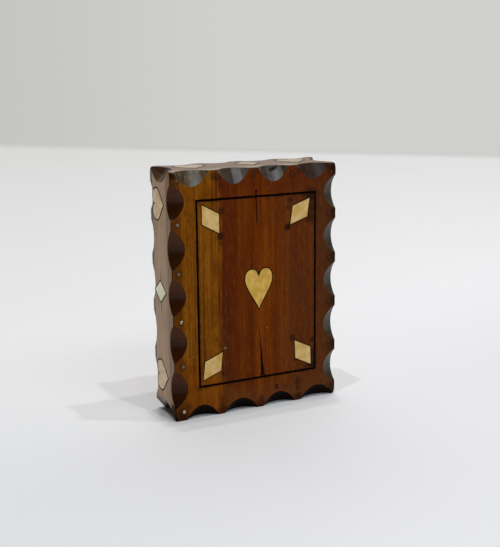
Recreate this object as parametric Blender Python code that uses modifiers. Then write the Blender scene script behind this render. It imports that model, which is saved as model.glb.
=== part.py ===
"""Mahogany snuff box: chip-carved edges, bone hearts and lozenges, a black border line, brass pins.

Metres, +Z up. The box stands on its short end with its front towards -Y.
The origin is in the middle of the underside.
"""

import math

import bmesh
import bpy
from mathutils import Matrix, Vector

# Outside of the box
HEIGHT = 0.090
WIDTH = 0.0668
DEPTH = 0.0180
EDGE_WEAR = 0.0006
CORNER_WEAR = 0.0020
WEAR_STEPS = 2

# How much lower the top's front edge is than its back edge
TOP_SLOPE = 0.0008

# Boards
FRONT_THICKNESS = 0.0036
LID_THICKNESS = 0.0016
FRAME_THICKNESS = 0.0055
GLUE_GAP = 0.00015
LID_CLEARANCE = 0.0003
TRIM = 0.001

# The lid's inner step, which drops into the frame
LID_STEP_HEIGHT = 0.0020

# Gouge cuts: how far they reach in from each edge of the broad faces, and on the narrow ones
FRONT_REACH = {"left": 0.0052, "right": 0.0053, "bottom": 0.0048, "top": 0.0062}
BACK_REACH = {"left": 0.0050, "right": 0.0050, "bottom": 0.0042, "top": 0.0050}
FRONT_REACH_ON_SIDES = 0.0034
BACK_REACH_ON_SIDES = 0.0025
GOUGE_OVERRUN = 0.003
GOUGE_SEGMENTS = 38

# The plain land left between neighbouring cuts
LAND_BETWEEN_CUTS = {"left": 0.0026, "right": 0.0031, "bottom": 0.0021, "top": 0.0027}

# Rows of cuts, spaced by eye: how far in from each corner a row ends, half a land beyond its
# last cut, and how far the middle of each land strays from even spacing
FRONT_ROWS = {
    "left": (0.0034, 0.0034, (0.0001, 0.0005, 0.0002, 0.0009)),
    "right": (0.0034, 0.0034, (-0.0005, 0.0002, 0.0004, 0.0004)),
    "bottom": (0.0031, -0.0007, (-0.0009, -0.0008, -0.0012)),
    "top": (-0.0004, 0.0011, (0.0003, -0.0003, -0.0009)),
}
BACK_ROWS = {
    "left": (0.0034, 0.0034, (0.0019, 0.0030, 0.0035, 0.0030)),
    "right": (0.0034, 0.0034, (0.0008, -0.0003, 0.0010, 0.0004)),
    "bottom": (0.0020, 0.0024, (-0.0006, 0.0004, 0.0009)),
    "top": (0.0018, 0.0012, (0.0005, -0.0004, 0.0006)),
}

# Cuts across the short edges: their reach along the rails and, for each end of the box, along
# the side boards, and how far inside the front and the back they begin
END_REACH_ON_RAILS = 0.0050
END_CUTS = {"bottom": (0.0063, 0.0, -0.0045), "top": (0.0051, 0.0018, 0.0010)}

# Bone inlay
BONE_THICKNESS = 0.0012
BONE_PROUD = 0.00005
BED_CLEARANCE = 0.0003
FRONT_HEART_WIDTH = 0.0110
FRONT_HEART_LENGTH = 0.0146
FRONT_HEART_STRAY = (0.0006, 0.0001)
EDGE_HEART_WIDTH = 0.0110
EDGE_HEART_LENGTH = 0.0093
EDGE_LOZENGE_LENGTH = 0.0094
SIDE_LOZENGE_WIDTH = 0.0075
TOP_LOZENGE_WIDTH = 0.0093
TOP_LOZENGE_STRAY = 0.0020
SIDE_INLAY_MARGIN = 0.0137
SIDE_INLAY_RISE = 0.0009
TOP_INLAY_MARGIN = 0.0127
EDGE_INLAY_BACK_MARGIN = 0.0007
FRONT_LOZENGE_WIDTH = 0.0066
FRONT_LOZENGE_SIDE = 0.0068
FRONT_LOZENGE_SLANT = math.radians(28)

# Front lozenges: how far in from the border's corner, sideways and upright, and their lean
FRONT_LOZENGES = {
    ("left", "top"): (0.0053, 0.0068, math.radians(0)),
    ("right", "top"): (0.0065, 0.0066, math.radians(-9)),
    ("left", "bottom"): (0.0053, 0.0071, math.radians(-7)),
    ("right", "bottom"): (0.0053, 0.0070, math.radians(2)),
}

# Black line let into the front: its middle, measured in from each edge of the front
BORDER_INSET = {"left": 0.0098, "right": 0.0090, "bottom": 0.0115, "top": 0.0112}
LINE_WIDTH = 0.0006
LINE_THICKNESS = 0.0009
LINE_CLEARANCE = 0.0001

# Brass pins
PIN_INSET = 0.0030
PIN_HEAD_RADIUS = 0.00068
PIN_HEAD_HEIGHT = 0.00024
PIN_HEAD_LIFT = 0.00005
PIN_HEAD_STEPS = 3
PIN_SHANK_RADIUS = 0.00035
PIN_HOLE_CLEARANCE = 0.00015
PIN_GRIP = 0.0022
PIN_SEGMENTS = 12

# Pins set by eye: how far some of them stray from their places, sideways and upright
PIN_STRAYS = {
    "pin_left_top": (-0.0004, -0.0009),
    "pin_left_4": (-0.0005, 0.0001),
    "pin_left_3": (-0.0005, 0.0001),
    "pin_left_2": (0.0002, -0.0009),
    "pin_left_1": (0.0004, -0.0001),
    "pin_left_bottom": (0.0004, 0.0003),
    "pin_right_top": (0.0007, -0.0011),
    "pin_right_bottom": (-0.0005, 0.0005),
    "pin_top_3": (-0.0001, -0.0011),
    "pin_bottom_1": (0.0002, 0.0011),
    "pin_bottom_2": (0.0002, 0.0005),
    "pin_bottom_3": (0.0003, 0.0020),
}

MESH_MERGE = 0.000001

FRONT_Y = -DEPTH / 2
BACK_Y = DEPTH / 2
LEFT_X = -WIDTH / 2
RIGHT_X = WIDTH / 2
FRAME_FRONT_Y = FRONT_Y + FRONT_THICKNESS + GLUE_GAP
FRAME_BACK_Y = BACK_Y - LID_THICKNESS - LID_CLEARANCE

X_AXIS = Vector((1, 0, 0))
Y_AXIS = Vector((0, 1, 0))
Z_AXIS = Vector((0, 0, 1))

# The four narrow sides: the board there, its outward direction and its place along it
SIDES = {
    "left": ("left_side", -X_AXIS, RIGHT_X),
    "right": ("right_side", X_AXIS, RIGHT_X),
    "bottom": ("bottom_rail", -Z_AXIS, 0),
    "top": ("top_rail", Z_AXIS, HEIGHT),
}

MAHOGANY = ("mahogany", (0.20, 0.055, 0.015), 0.35, 0.0)
BONE = ("bone", (0.80, 0.66, 0.40), 0.45, 0.0)
BLACK_LINE = ("black_line", (0.015, 0.010, 0.008), 0.5, 0.0)
BRASS = ("brass", (0.60, 0.44, 0.20), 0.35, 1.0)


def clear_scene():
    for obj in list(bpy.data.objects):
        bpy.data.objects.remove(obj, do_unlink=True)


def new_collection(name, hidden=False):
    collection = bpy.data.collections.new(name)
    collection.hide_render = hidden
    bpy.context.scene.collection.children.link(collection)
    return collection


def material(finish):
    """The material of this finish, made on first use."""
    name, colour, roughness, metallic = finish
    found = bpy.data.materials.get(name)
    if found:
        return found
    made = bpy.data.materials.new(name)
    made.use_nodes = True
    shader = made.node_tree.nodes["Principled BSDF"]
    shader.inputs["Base Color"].default_value = (*colour, 1)
    shader.inputs["Roughness"].default_value = roughness
    shader.inputs["Metallic"].default_value = metallic
    return made


def add_object(name, shape, collections, finish=None):
    """A new object from a bmesh: a part where it has a finish, otherwise a cutter."""
    mesh = bpy.data.meshes.new(name)
    shape.normal_update()
    bmesh.ops.recalc_face_normals(shape, faces=shape.faces)
    shape.to_mesh(mesh)
    shape.free()
    obj = bpy.data.objects.new(name, mesh)
    for collection in collections:
        collection.objects.link(obj)
    if finish:
        mesh.materials.append(material(finish))
    else:
        obj.hide_render = True
        obj.display_type = "WIRE"
    return obj


def box_shape(low, high):
    """A box between two corners."""
    low = Vector(low)
    high = Vector(high)
    shape = bmesh.new()
    place = Matrix.Translation((low + high) / 2) @ Matrix.Diagonal((*(high - low), 1))
    bmesh.ops.create_cube(shape, size=1, matrix=place)
    return shape


def bar_shape(radius, length, segments, middle, right, up):
    """A round bar that runs both ways from its middle, square to right and up."""
    shape = bmesh.new()
    bmesh.ops.create_cone(
        shape, cap_ends=True, segments=segments, radius1=radius, radius2=radius, depth=length
    )
    shape.transform(facing(middle, right, up))
    return shape


def facing(middle, right, up):
    """The placing that turns X to right and Y to up, and so Z towards the viewer."""
    turn = Matrix((right, up, right.cross(up))).transposed().to_4x4()
    return Matrix.Translation(middle) @ turn


def cut_with(obj, collection):
    modifier = obj.modifiers.new("Cuts", "BOOLEAN")
    modifier.operation = "DIFFERENCE"
    modifier.solver = "EXACT"
    modifier.operand_type = "COLLECTION"
    modifier.collection = collection


def combine(obj, operation, other):
    modifier = obj.modifiers.new(operation.title(), "BOOLEAN")
    modifier.operation = operation
    modifier.solver = "EXACT"
    modifier.object = other


def stops_of(rows, side):
    """The two ends of a row of cuts and the middles of the lands between them."""
    before, after, strays = rows[side]
    low, high = (0, HEIGHT) if side in ("left", "right") else (LEFT_X, RIGHT_X)
    low += before
    high -= after
    pitch = (high - low) / (len(strays) + 1)
    lands = [low + pitch * (index + 1) + stray for index, stray in enumerate(strays)]
    return (low, *lands, high)


def carve_edge(name, corner, along, face, side, stops, reach, land, cuts):
    """A row of gouge cuts between neighbouring stops on one edge.

    corner is the edge's point at 0 along it. face and side are the outward directions of
    the two faces that meet there. Each cut is a round bar lying across the edge. Its deepest
    line runs from the first reach in on the face to the second reach in on the side.
    """
    face_reach, side_reach = reach
    slope = math.hypot(face_reach, side_reach)
    across = (side * face_reach - face * side_reach) / slope
    outward = (face * face_reach + side * side_reach) / slope
    depth = face_reach * side_reach / slope
    deepest = corner - (side * face_reach + face * side_reach) / 2
    for index, (low, high) in enumerate(zip(stops, stops[1:])):
        half_chord = (high - low - land) / 2
        radius = (half_chord**2 + depth**2) / (2 * depth)
        middle = deepest + along * (low + high) / 2 + outward * radius
        length = slope + 2 * GOUGE_OVERRUN
        bar = bar_shape(radius, length, GOUGE_SEGMENTS, middle, outward.cross(across), outward)
        add_object(f"{name}_{index + 1}", bar, cuts)


def carve_broad_face(board, outward, rows, reaches, side_reach, cuts):
    """Five cuts down each tall edge of a broad face and four along its top and bottom."""
    for side, (side_board, side_outward, place) in SIDES.items():
        corner = outward * BACK_Y + side_outward * place
        along = Z_AXIS if side in ("left", "right") else X_AXIS
        stops = stops_of(rows, side)
        reach = (reaches[side], side_reach)
        land = LAND_BETWEEN_CUTS[side]
        boards = [cuts[board], cuts[side_board]]
        carve_edge(f"{board}_{side}_cut", corner, along, outward, side_outward, stops, reach, land, boards)


def carve_ends(cuts):
    """One cut across each short edge, through every board that meets there."""
    for hand in ("left", "right"):
        for end, (reach_on_side, front_margin, back_margin) in END_CUTS.items():
            side_board, side_outward, side_place = SIDES[hand]
            end_board, end_outward, end_place = SIDES[end]
            corner = side_outward * side_place + end_outward * end_place
            boards = [cuts[board] for board in (side_board, end_board, "front_board", "back_lid")]
            stops = (FRONT_Y + front_margin, BACK_Y - back_margin)
            reach = (reach_on_side, END_REACH_ON_RAILS)
            name = f"{hand}_{end}_cut"
            carve_edge(name, corner, Y_AXIS, side_outward, end_outward, stops, reach, 0, boards)


def outline_solid(name, knots, thickness, spare, place, collections, finish=None):
    """A flat piece: a filled outline, grown all round by spare, given a thickness.

    knots are corners, or (corner, handle before, handle after) for a round outline.
    """
    curve = bpy.data.curves.new(name, "CURVE")
    curve.dimensions = "2D"
    curve.fill_mode = "BOTH"
    curve.extrude = thickness / 2
    curve.offset = spare
    curve.resolution_u = 8
    if len(knots[0]) == 2:
        spline = curve.splines.new("POLY")
        spline.points.add(len(knots) - 1)
        for point, corner in zip(spline.points, knots):
            point.co = (*corner, 0, 1)
    else:
        spline = curve.splines.new("BEZIER")
        spline.bezier_points.add(len(knots) - 1)
        for knot, (corner, before, after) in zip(spline.bezier_points, knots):
            knot.handle_left_type = "FREE"
            knot.handle_right_type = "FREE"
            knot.co = (*corner, 0)
            knot.handle_left = (*before, 0)
            knot.handle_right = (*after, 0)
    spline.use_cyclic_u = True
    source = bpy.data.objects.new(name + "_outline", curve)
    collections[0].objects.link(source)
    graph = bpy.context.evaluated_depsgraph_get()
    filled = bpy.data.meshes.new_from_object(source.evaluated_get(graph))
    shape = bmesh.new()
    shape.from_mesh(filled)
    bmesh.ops.remove_doubles(shape, verts=shape.verts, dist=MESH_MERGE)
    shape.transform(place)
    bpy.data.objects.remove(source, do_unlink=True)
    bpy.data.curves.remove(curve)
    bpy.data.meshes.remove(filled)
    return add_object(name, shape, collections, finish)


def heart_knots(width, length):
    """A heart with its point down: notch, lobe, shoulder, point, and the same back up."""
    half = width / 2
    top = length / 2
    lobe = half * 0.52
    shoulder = top - width * 0.32
    notch = top - length * 0.19
    reach = width * 0.17
    flank = length * 0.20
    return (
        ((0, notch), (-lobe * 0.25, notch + reach * 0.8), (lobe * 0.25, notch + reach * 0.8)),
        ((lobe, top), (lobe - reach, top), (lobe + reach, top)),
        ((half, shoulder), (half, shoulder + reach), (half, shoulder - flank)),
        ((0, -top), (half * 0.22, -top + flank), (-half * 0.22, -top + flank)),
        ((-half, shoulder), (-half, shoulder - flank), (-half, shoulder + reach)),
        ((-lobe, top), (-lobe - reach, top), (-lobe + reach, top)),
    )


def lozenge_knots(width, length):
    """A lozenge with its diagonals upright and level."""
    return ((width / 2, 0), (0, length / 2), (-width / 2, 0), (0, -length / 2))


def slanted_knots(width, side, slant):
    """A lozenge with two upright sides and the other two at a slant."""
    half = width / 2
    rise = half * math.tan(slant)
    return (
        (half, rise - side / 2),
        (half, rise + side / 2),
        (-half, side / 2 - rise),
        (-half, -side / 2 - rise),
    )


def add_inlay(name, knots, middle, right, up, parts, cuts):
    """A bone piece flush with a face, and its bed in the board that carries it."""
    outward = right.cross(up)
    place = facing(middle + outward * (BONE_PROUD - BONE_THICKNESS / 2), right, up)
    outline_solid(name, knots, BONE_THICKNESS, 0, place, [parts], BONE)
    bottom = BONE_PROUD - BONE_THICKNESS - BED_CLEARANCE
    height = BED_CLEARANCE - bottom
    place = facing(middle + outward * (bottom + height / 2), right, up)
    outline_solid(name + "_bed", knots, height, BED_CLEARANCE, place, [cuts])


def add_front_inlay(parts, cuts):
    knots = heart_knots(FRONT_HEART_WIDTH, FRONT_HEART_LENGTH)
    stray_x, stray_z = FRONT_HEART_STRAY
    middle = Vector((stray_x, FRONT_Y, HEIGHT / 2 + stray_z))
    add_inlay("front_heart", knots, middle, X_AXIS, Z_AXIS, parts, cuts)
    for (hand, end), (inset_x, inset_z, lean) in FRONT_LOZENGES.items():
        to_right = 1 if hand == "right" else -1
        to_top = 1 if end == "top" else -1
        x = to_right * (RIGHT_X - BORDER_INSET[hand] - inset_x)
        z = HEIGHT / 2 + to_top * (HEIGHT / 2 - BORDER_INSET[end] - inset_z)
        slant = FRONT_LOZENGE_SLANT * to_right * to_top
        knots = slanted_knots(FRONT_LOZENGE_WIDTH, FRONT_LOZENGE_SIDE, slant)
        turn = Matrix.Rotation(-lean, 3, "Y")
        name = f"front_lozenge_{end}_{hand}"
        add_inlay(name, knots, Vector((x, FRONT_Y, z)), turn @ X_AXIS, turn @ Z_AXIS, parts, cuts)


def add_edge_inlay(side, parts, cuts):
    """Heart, lozenge, heart along a narrow side, with their points towards the front."""
    board, outward, place = SIDES[side]
    back = FRAME_BACK_Y - EDGE_INLAY_BACK_MARGIN
    middle = outward * place + Y_AXIS * (back - EDGE_HEART_LENGTH / 2)
    right = Y_AXIS.cross(outward)
    if side == "top":
        up = Vector((0, DEPTH, TOP_SLOPE)).normalized()
        middle -= Z_AXIS * TOP_SLOPE * (BACK_Y - middle.y) / DEPTH
        along, ends, spacing = X_AXIS, ("left", "right"), WIDTH / 2 - TOP_INLAY_MARGIN
        lozenge_width, stray = TOP_LOZENGE_WIDTH, TOP_LOZENGE_STRAY
    else:
        up = Y_AXIS
        middle += Z_AXIS * (HEIGHT / 2 + SIDE_INLAY_RISE)
        along, ends, spacing = Z_AXIS, ("bottom", "top"), HEIGHT / 2 - SIDE_INLAY_MARGIN
        lozenge_width, stray = SIDE_LOZENGE_WIDTH, 0
    heart = heart_knots(EDGE_HEART_WIDTH, EDGE_HEART_LENGTH)
    for end, step in zip(ends, (-spacing, spacing)):
        add_inlay(f"{side}_heart_{end}", heart, middle + along * step, right, up, parts, cuts[board])
    lozenge = lozenge_knots(lozenge_width, EDGE_LOZENGE_LENGTH)
    add_inlay(f"{side}_lozenge", lozenge, middle + along * stray, right, up, parts, cuts[board])


def border_box(grown, front, back):
    """A box as large as the middle of the black line, grown all round."""
    low = (LEFT_X + BORDER_INSET["left"] - grown, front, BORDER_INSET["bottom"] - grown)
    high = (RIGHT_X - BORDER_INSET["right"] + grown, back, HEIGHT - BORDER_INSET["top"] + grown)
    return box_shape(low, high)


def add_border(parts, cuts, helpers):
    """The black line, a thin frame flush with the front, and its groove."""
    back = FRONT_Y + LINE_THICKNESS
    outer = LINE_WIDTH / 2
    line = add_object("border_line", border_box(outer, FRONT_Y, back), [parts], BLACK_LINE)
    through = border_box(-outer, FRONT_Y - TRIM, back + TRIM)
    combine(line, "DIFFERENCE", add_object("border_inside", through, [helpers]))
    outer += LINE_CLEARANCE
    groove = add_object("border_groove", border_box(outer, FRONT_Y - TRIM, back + LINE_CLEARANCE), [cuts])
    through = border_box(-outer, FRONT_Y - 2 * TRIM, back + TRIM)
    combine(groove, "DIFFERENCE", add_object("border_groove_inside", through, [helpers]))


def pin_places():
    """Name and place of each pin, and the frame boards that it runs into."""
    low = PIN_INSET
    high = HEIGHT - PIN_INSET
    for hand, x in (("left", LEFT_X + PIN_INSET), ("right", RIGHT_X - PIN_INSET)):
        yield f"pin_{hand}_bottom", x, low, (hand, "bottom")
        yield f"pin_{hand}_top", x, high, (hand, "top")
        for index, z in enumerate(stops_of(FRONT_ROWS, hand)[1:-1]):
            yield f"pin_{hand}_{index + 1}", x, z, (hand,)
    for end, z in (("bottom", low), ("top", high)):
        for index, x in enumerate(stops_of(FRONT_ROWS, end)[1:-1]):
            yield f"pin_{end}_{index + 1}", x, z, (end,)


def pin_shape(place, length):
    """A nail with a low domed head, turned about its own length."""
    profile = []
    for step in range(PIN_HEAD_STEPS + 1):
        angle = step * math.pi / 2 / PIN_HEAD_STEPS
        profile.append((PIN_HEAD_RADIUS * math.sin(angle), PIN_HEAD_HEIGHT * math.cos(angle)))
    profile += [(PIN_SHANK_RADIUS, 0), (PIN_SHANK_RADIUS, -length), (0, -length)]
    shape = bmesh.new()
    points = [shape.verts.new((radius, 0, rise)) for radius, rise in profile]
    lines = [shape.edges.new(pair) for pair in zip(points, points[1:])]
    bmesh.ops.spin(
        shape,
        geom=points + lines,
        axis=(0, 0, 1),
        cent=(0, 0, 0),
        steps=PIN_SEGMENTS,
        angle=math.tau,
    )
    bmesh.ops.remove_doubles(shape, verts=shape.verts, dist=MESH_MERGE)
    shape.transform(facing(place - Y_AXIS * PIN_HEAD_LIFT, X_AXIS, Z_AXIS))
    return shape


def add_pins(parts, cuts):
    """Domed brass pins through the front board into the frame, each in its own hole."""
    length = FRONT_THICKNESS + GLUE_GAP + PIN_GRIP
    hole_radius = PIN_SHANK_RADIUS + PIN_HOLE_CLEARANCE
    hole_length = length + 2 * PIN_HOLE_CLEARANCE
    for name, x, z, sides in pin_places():
        stray_x, stray_z = PIN_STRAYS.get(name, (0, 0))
        place = Vector((x + stray_x, FRONT_Y, z + stray_z))
        pin = add_object(name, pin_shape(place, length), [parts], BRASS)
        pin.data.shade_smooth()
        pin.data.set_sharp_from_angle(angle=math.radians(50))
        middle = place + Y_AXIS * length / 2
        hole = bar_shape(hole_radius, hole_length, PIN_SEGMENTS, middle, X_AXIS, Z_AXIS)
        boards = [cuts["front_board"]] + [cuts[SIDES[side][0]] for side in sides]
        add_object(name + "_hole", hole, boards)


def mitred_board(side):
    """A frame board between the front board and the lid, its ends cut at 45 degrees."""
    _, outward, place = SIDES[side]
    tall = side in ("left", "right")
    along, low_end, high_end = (Z_AXIS, 0, HEIGHT) if tall else (X_AXIS, LEFT_X, RIGHT_X)
    gap = GLUE_GAP / math.sqrt(2)
    outer = place + TRIM
    inner = place - FRAME_THICKNESS
    low = outward * outer + Y_AXIS * FRAME_FRONT_Y + along * (low_end - TRIM + gap)
    high = outward * inner + Y_AXIS * FRAME_BACK_Y + along * (high_end + TRIM - gap)
    shape = box_shape(low, high)
    middle = (low_end + high_end) / 2
    for vert in shape.verts:
        if vert.co.dot(outward) < (outer + inner) / 2:
            toward_middle = 1 if vert.co.dot(along) < middle else -1
            vert.co += along * toward_middle * (FRAME_THICKNESS + TRIM)
    return shape


def broad_board(front, back):
    return box_shape((LEFT_X - TRIM, front, -TRIM), (RIGHT_X + TRIM, back, HEIGHT + TRIM))


def lid_step():
    """The raised inner part of the lid, which drops into the frame."""
    inset = FRAME_THICKNESS + LID_CLEARANCE
    inside = BACK_Y - LID_THICKNESS
    low = (LEFT_X + inset, inside - LID_STEP_HEIGHT, inset)
    high = (RIGHT_X - inset, inside + LID_THICKNESS / 2, HEIGHT - inset)
    return box_shape(low, high)


def add_boards(parts, cuts, helpers):
    """The six boards, each trimmed to the worn outside of the box and then carved."""
    outside = box_shape((LEFT_X, FRONT_Y, 0), (RIGHT_X, BACK_Y, HEIGHT))
    for vert in outside.verts:
        if vert.co.z > HEIGHT / 2 and vert.co.y < 0:
            vert.co.z -= TOP_SLOPE
    block = add_object("outside_of_box", outside, [helpers])
    for name, affect, width in (
        ("Worn corners", "VERTICES", CORNER_WEAR),
        ("Worn edges", "EDGES", EDGE_WEAR),
    ):
        bevel = block.modifiers.new(name, "BEVEL")
        bevel.affect = affect
        bevel.width = width
        bevel.segments = WEAR_STEPS
    shapes = {board: mitred_board(side) for side, (board, _, _) in SIDES.items()}
    shapes["front_board"] = broad_board(FRONT_Y - TRIM, FRONT_Y + FRONT_THICKNESS)
    shapes["back_lid"] = broad_board(BACK_Y - LID_THICKNESS, BACK_Y + TRIM)
    step = add_object("lid_step", lid_step(), [helpers])
    for name, shape in shapes.items():
        board = add_object(name, shape, [parts], MAHOGANY)
        if name == "back_lid":
            combine(board, "UNION", step)
        combine(board, "INTERSECT", block)
        cut_with(board, cuts[name])


def main():
    clear_scene()
    parts = new_collection("snuff_box")
    helpers = new_collection("helpers", hidden=True)
    cuts = {}
    for board in ("front_board", "back_lid", "left_side", "right_side", "bottom_rail", "top_rail"):
        cuts[board] = new_collection(f"{board}_cuts", hidden=True)
    add_front_inlay(parts, cuts["front_board"])
    for side in ("left", "right", "top"):
        add_edge_inlay(side, parts, cuts)
    add_border(parts, cuts["front_board"], helpers)
    add_pins(parts, cuts)
    carve_broad_face("front_board", -Y_AXIS, FRONT_ROWS, FRONT_REACH, FRONT_REACH_ON_SIDES, cuts)
    carve_broad_face("back_lid", Y_AXIS, BACK_ROWS, BACK_REACH, BACK_REACH_ON_SIDES, cuts)
    carve_ends(cuts)
    add_boards(parts, cuts, helpers)


main()
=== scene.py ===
"""Mahogany snuff box with bone and brass, dressed and lit on a pale table.

Metres, +Z up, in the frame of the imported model: the front looks towards -Y.
"""

import functools
import math

import bmesh
import bpy
from mathutils import Matrix, Vector


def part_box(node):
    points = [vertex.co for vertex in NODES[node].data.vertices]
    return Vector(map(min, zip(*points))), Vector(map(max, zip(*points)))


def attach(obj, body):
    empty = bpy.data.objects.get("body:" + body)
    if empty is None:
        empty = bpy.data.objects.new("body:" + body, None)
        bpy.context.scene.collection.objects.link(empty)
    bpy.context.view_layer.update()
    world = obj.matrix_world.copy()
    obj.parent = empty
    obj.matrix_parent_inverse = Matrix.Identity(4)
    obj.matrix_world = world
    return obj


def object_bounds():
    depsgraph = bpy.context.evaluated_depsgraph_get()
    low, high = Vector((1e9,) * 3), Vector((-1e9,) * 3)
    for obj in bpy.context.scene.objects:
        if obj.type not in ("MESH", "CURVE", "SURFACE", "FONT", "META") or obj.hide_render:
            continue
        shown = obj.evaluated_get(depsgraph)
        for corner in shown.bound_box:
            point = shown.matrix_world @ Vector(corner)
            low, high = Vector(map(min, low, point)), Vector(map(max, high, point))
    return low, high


bl_info = {
    "name": "Snuff Box Finish",
    "version": (1, 0, 0),
    "blender": (4, 5, 0),
    "location": "View3D > Sidebar > Snuff Box",
    "description": "Dresses the packed snuff box in varnished wood, bone and brass, and lights it",
    "category": "Object",
}

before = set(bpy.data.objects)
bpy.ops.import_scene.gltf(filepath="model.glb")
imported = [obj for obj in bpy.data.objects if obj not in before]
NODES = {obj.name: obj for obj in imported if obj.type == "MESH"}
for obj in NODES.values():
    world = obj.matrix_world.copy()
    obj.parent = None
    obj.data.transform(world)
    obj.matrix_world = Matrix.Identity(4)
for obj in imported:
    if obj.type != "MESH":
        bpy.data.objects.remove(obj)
CAD_LOW, CAD_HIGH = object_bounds()

X_AXIS = Vector((1, 0, 0))
Y_AXIS = Vector((0, 1, 0))
Z_AXIS = Vector((0, 0, 1))
MM = 0.001

# How far the pin heads stand proud of the front, and where its face lies, in millimetres
PIN_RISE = 0.3
FRONT_FACE = CAD_LOW.y / MM + PIN_RISE

# Edges sharper than this stay sharp, on the boards and inlay and on the round pin heads
EDGE_ANGLE = math.radians(22)
PIN_EDGE_ANGLE = math.radians(50)

# Corners closer than this are one corner, in metres
MERGE = 1e-6

# Radius that worn edges of wood seem to have, in metres, and how strongly varnish bends light
WOOD_ROUNDING = 0.0003
VARNISH_IOR = 1.5

# Outward direction of each narrow side
SIDES = {"left": -X_AXIS, "right": X_AXIS, "bottom": -Z_AXIS, "top": Z_AXIS}

# Dark stains on the front, in millimetres: x, z, radius, strength
FRONT_STAINS = (
    (12.7, 66.8, 2.0, 0.95),
    (22.4, 77.6, 4.4, 0.85),
    (19.4, 78.4, 2.2, 0.55),
    (13.7, 76.6, 2.0, 0.65),
    (12.9, 74.2, 2.0, 0.45),
    (23.0, 73.0, 3.2, 0.7),
    (22.6, 69.6, 3.6, 0.65),
    (21.0, 68.6, 1.2, 0.5),
    (-14.2, 74.6, 2.2, 0.6),
    (-14.5, 65.6, 2.2, 0.85),
    (-14.6, 63.2, 1.4, 0.4),
    (-15.1, 86.2, 2.2, 0.55),
    (-14.2, 83.6, 1.8, 0.45),
    (-32.3, 87.6, 1.9, 0.9),
    (-30.6, 2.4, 4.0, 0.7),
    (-28.4, 4.6, 2.6, 0.45),
    (-24.2, 10.9, 1.8, 0.5),
    (24.0, 79.0, 1.6, 0.6),
    (-31.4, 12.0, 1.6, 0.5),
    (-31.0, 88.6, 1.5, 0.7),
    (-32.6, 84.9, 1.6, 0.6),
    (0.0, 80.9, 0.9, 0.8),
    (32.6, 87.2, 3.4, 0.85),
    (29.6, 89.0, 2.0, 0.6),
    (33.0, 70.6, 3.0, 0.65),
    (33.0, 54.4, 3.0, 0.5),
    (33.0, 37.2, 3.0, 0.6),
    (33.0, 20.2, 3.0, 0.6),
    (32.6, 3.0, 3.4, 0.65),
    (18.0, 87.6, 2.4, 0.5),
    (0.4, 87.8, 2.2, 0.45),
    (-14.6, 1.6, 2.6, 0.6),
    (-15.0, 5.6, 1.8, 0.5),
    (-10.8, 11.6, 2.2, 0.35),
    (17.0, 7.4, 2.6, 0.5),
    (11.8, 6.4, 1.8, 0.3),
    (1.2, 1.4, 2.4, 0.6),
    (17.2, 1.4, 2.6, 0.65),
    (-22.6, 77.8, 1.2, 0.5),
    (23.0, 13.4, 3.2, 0.85),
    (23.4, 17.4, 2.8, 0.75),
    (20.2, 12.2, 1.3, 0.5),
    (23.4, 19.0, 1.1, 0.5),
    (23.2, 22.9, 2.0, 0.65),
    (14.7, 24.9, 2.0, 0.65),
    (15.7, 16.0, 1.1, 0.6),
    (-14.4, 15.3, 1.2, 0.8),
    (-6.5, 11.2, 1.3, 0.5),
    (-4.0, 11.2, 1.6, 0.6),
    (-1.5, 11.3, 1.2, 0.5),
    (-23.6, 44.0, 1.3, 0.7),
    (0.6, 50.9, 1.0, 0.9),
    (7.8, 6.6, 1.6, 0.45),
)

# The stain round each pin: radius and strength
PIN_STAIN = (1.7, 0.6)

# Black marks in the third cut of the top: x, z, radius, strength
CUT_MARKS = (
    (6.9, 87.8, 1.1, 0.9),
    (7.5, 88.0, 1.2, 0.9),
    (8.1, 88.2, 1.2, 0.95),
    (8.7, 88.5, 1.1, 0.9),
    (9.4, 88.8, 0.9, 0.8),
)

# Yellow stains on the front's bone: x, z, radius, strength
BONE_STAINS = (
    (-15.4, 21.6, 2.6, 0.8),
    (-19.8, 15.4, 2.2, 0.6),
    (-18.4, 20.0, 1.4, 0.4),
    (17.0, 73.2, 3.0, 0.42),
    (19.6, 70.4, 2.0, 0.35),
    (-1.5, 44.0, 3.0, 0.5),
    (2.4, 50.4, 2.4, 0.5),
    (-21.2, 76.4, 1.6, 0.4),
    (18.8, 21.0, 2.4, 0.4),
)

# Pale specks on the front: x, z, radius
FRONT_SPECKS = (
    (-13.3, 24.7, 0.6),
    (3.8, 30.1, 0.35),
    (12.2, 44.0, 0.25),
    (-26.0, 23.0, 0.3),
)

# Cracks in the front: top x and z, bottom x and z, half width at the top and at the bottom
FRONT_CRACKS = (
    (-0.3, 81.2, 0.0, 69.5, 0.30, 0.17),
    (0.75, 30.0, 1.9, 12.0, 0.17, 0.95),
    (7.6, 8.0, 7.9, 5.9, 0.25, 0.20),
)

# Cracks in the left side from the tips of its lozenge, in millimetres: z of the tip and of the far end
SIDE_CRACKS = ((50.4, 54.4), (41.2, 37.2))

# Reach of each pin's finish from its middle, in millimetres, and how brightly some are rubbed
PIN_REACH = 2.0
PIN_SHINE = {
    "pin_left_top": 0.06,
    "pin_left_4": 0.22,
    "pin_left_3": 0.14,
    "pin_left_2": 1.0,
    "pin_left_1": 0.14,
    "pin_left_bottom": 1.0,
}

# How much wider the mastic shows on a side than on the front, and how deep its bed is, in metres
MASTIC_SPREAD = {"left": 1.4, "right": 1.4, "top": 1.2}
MASTIC_DEPTH = 0.0011

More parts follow.
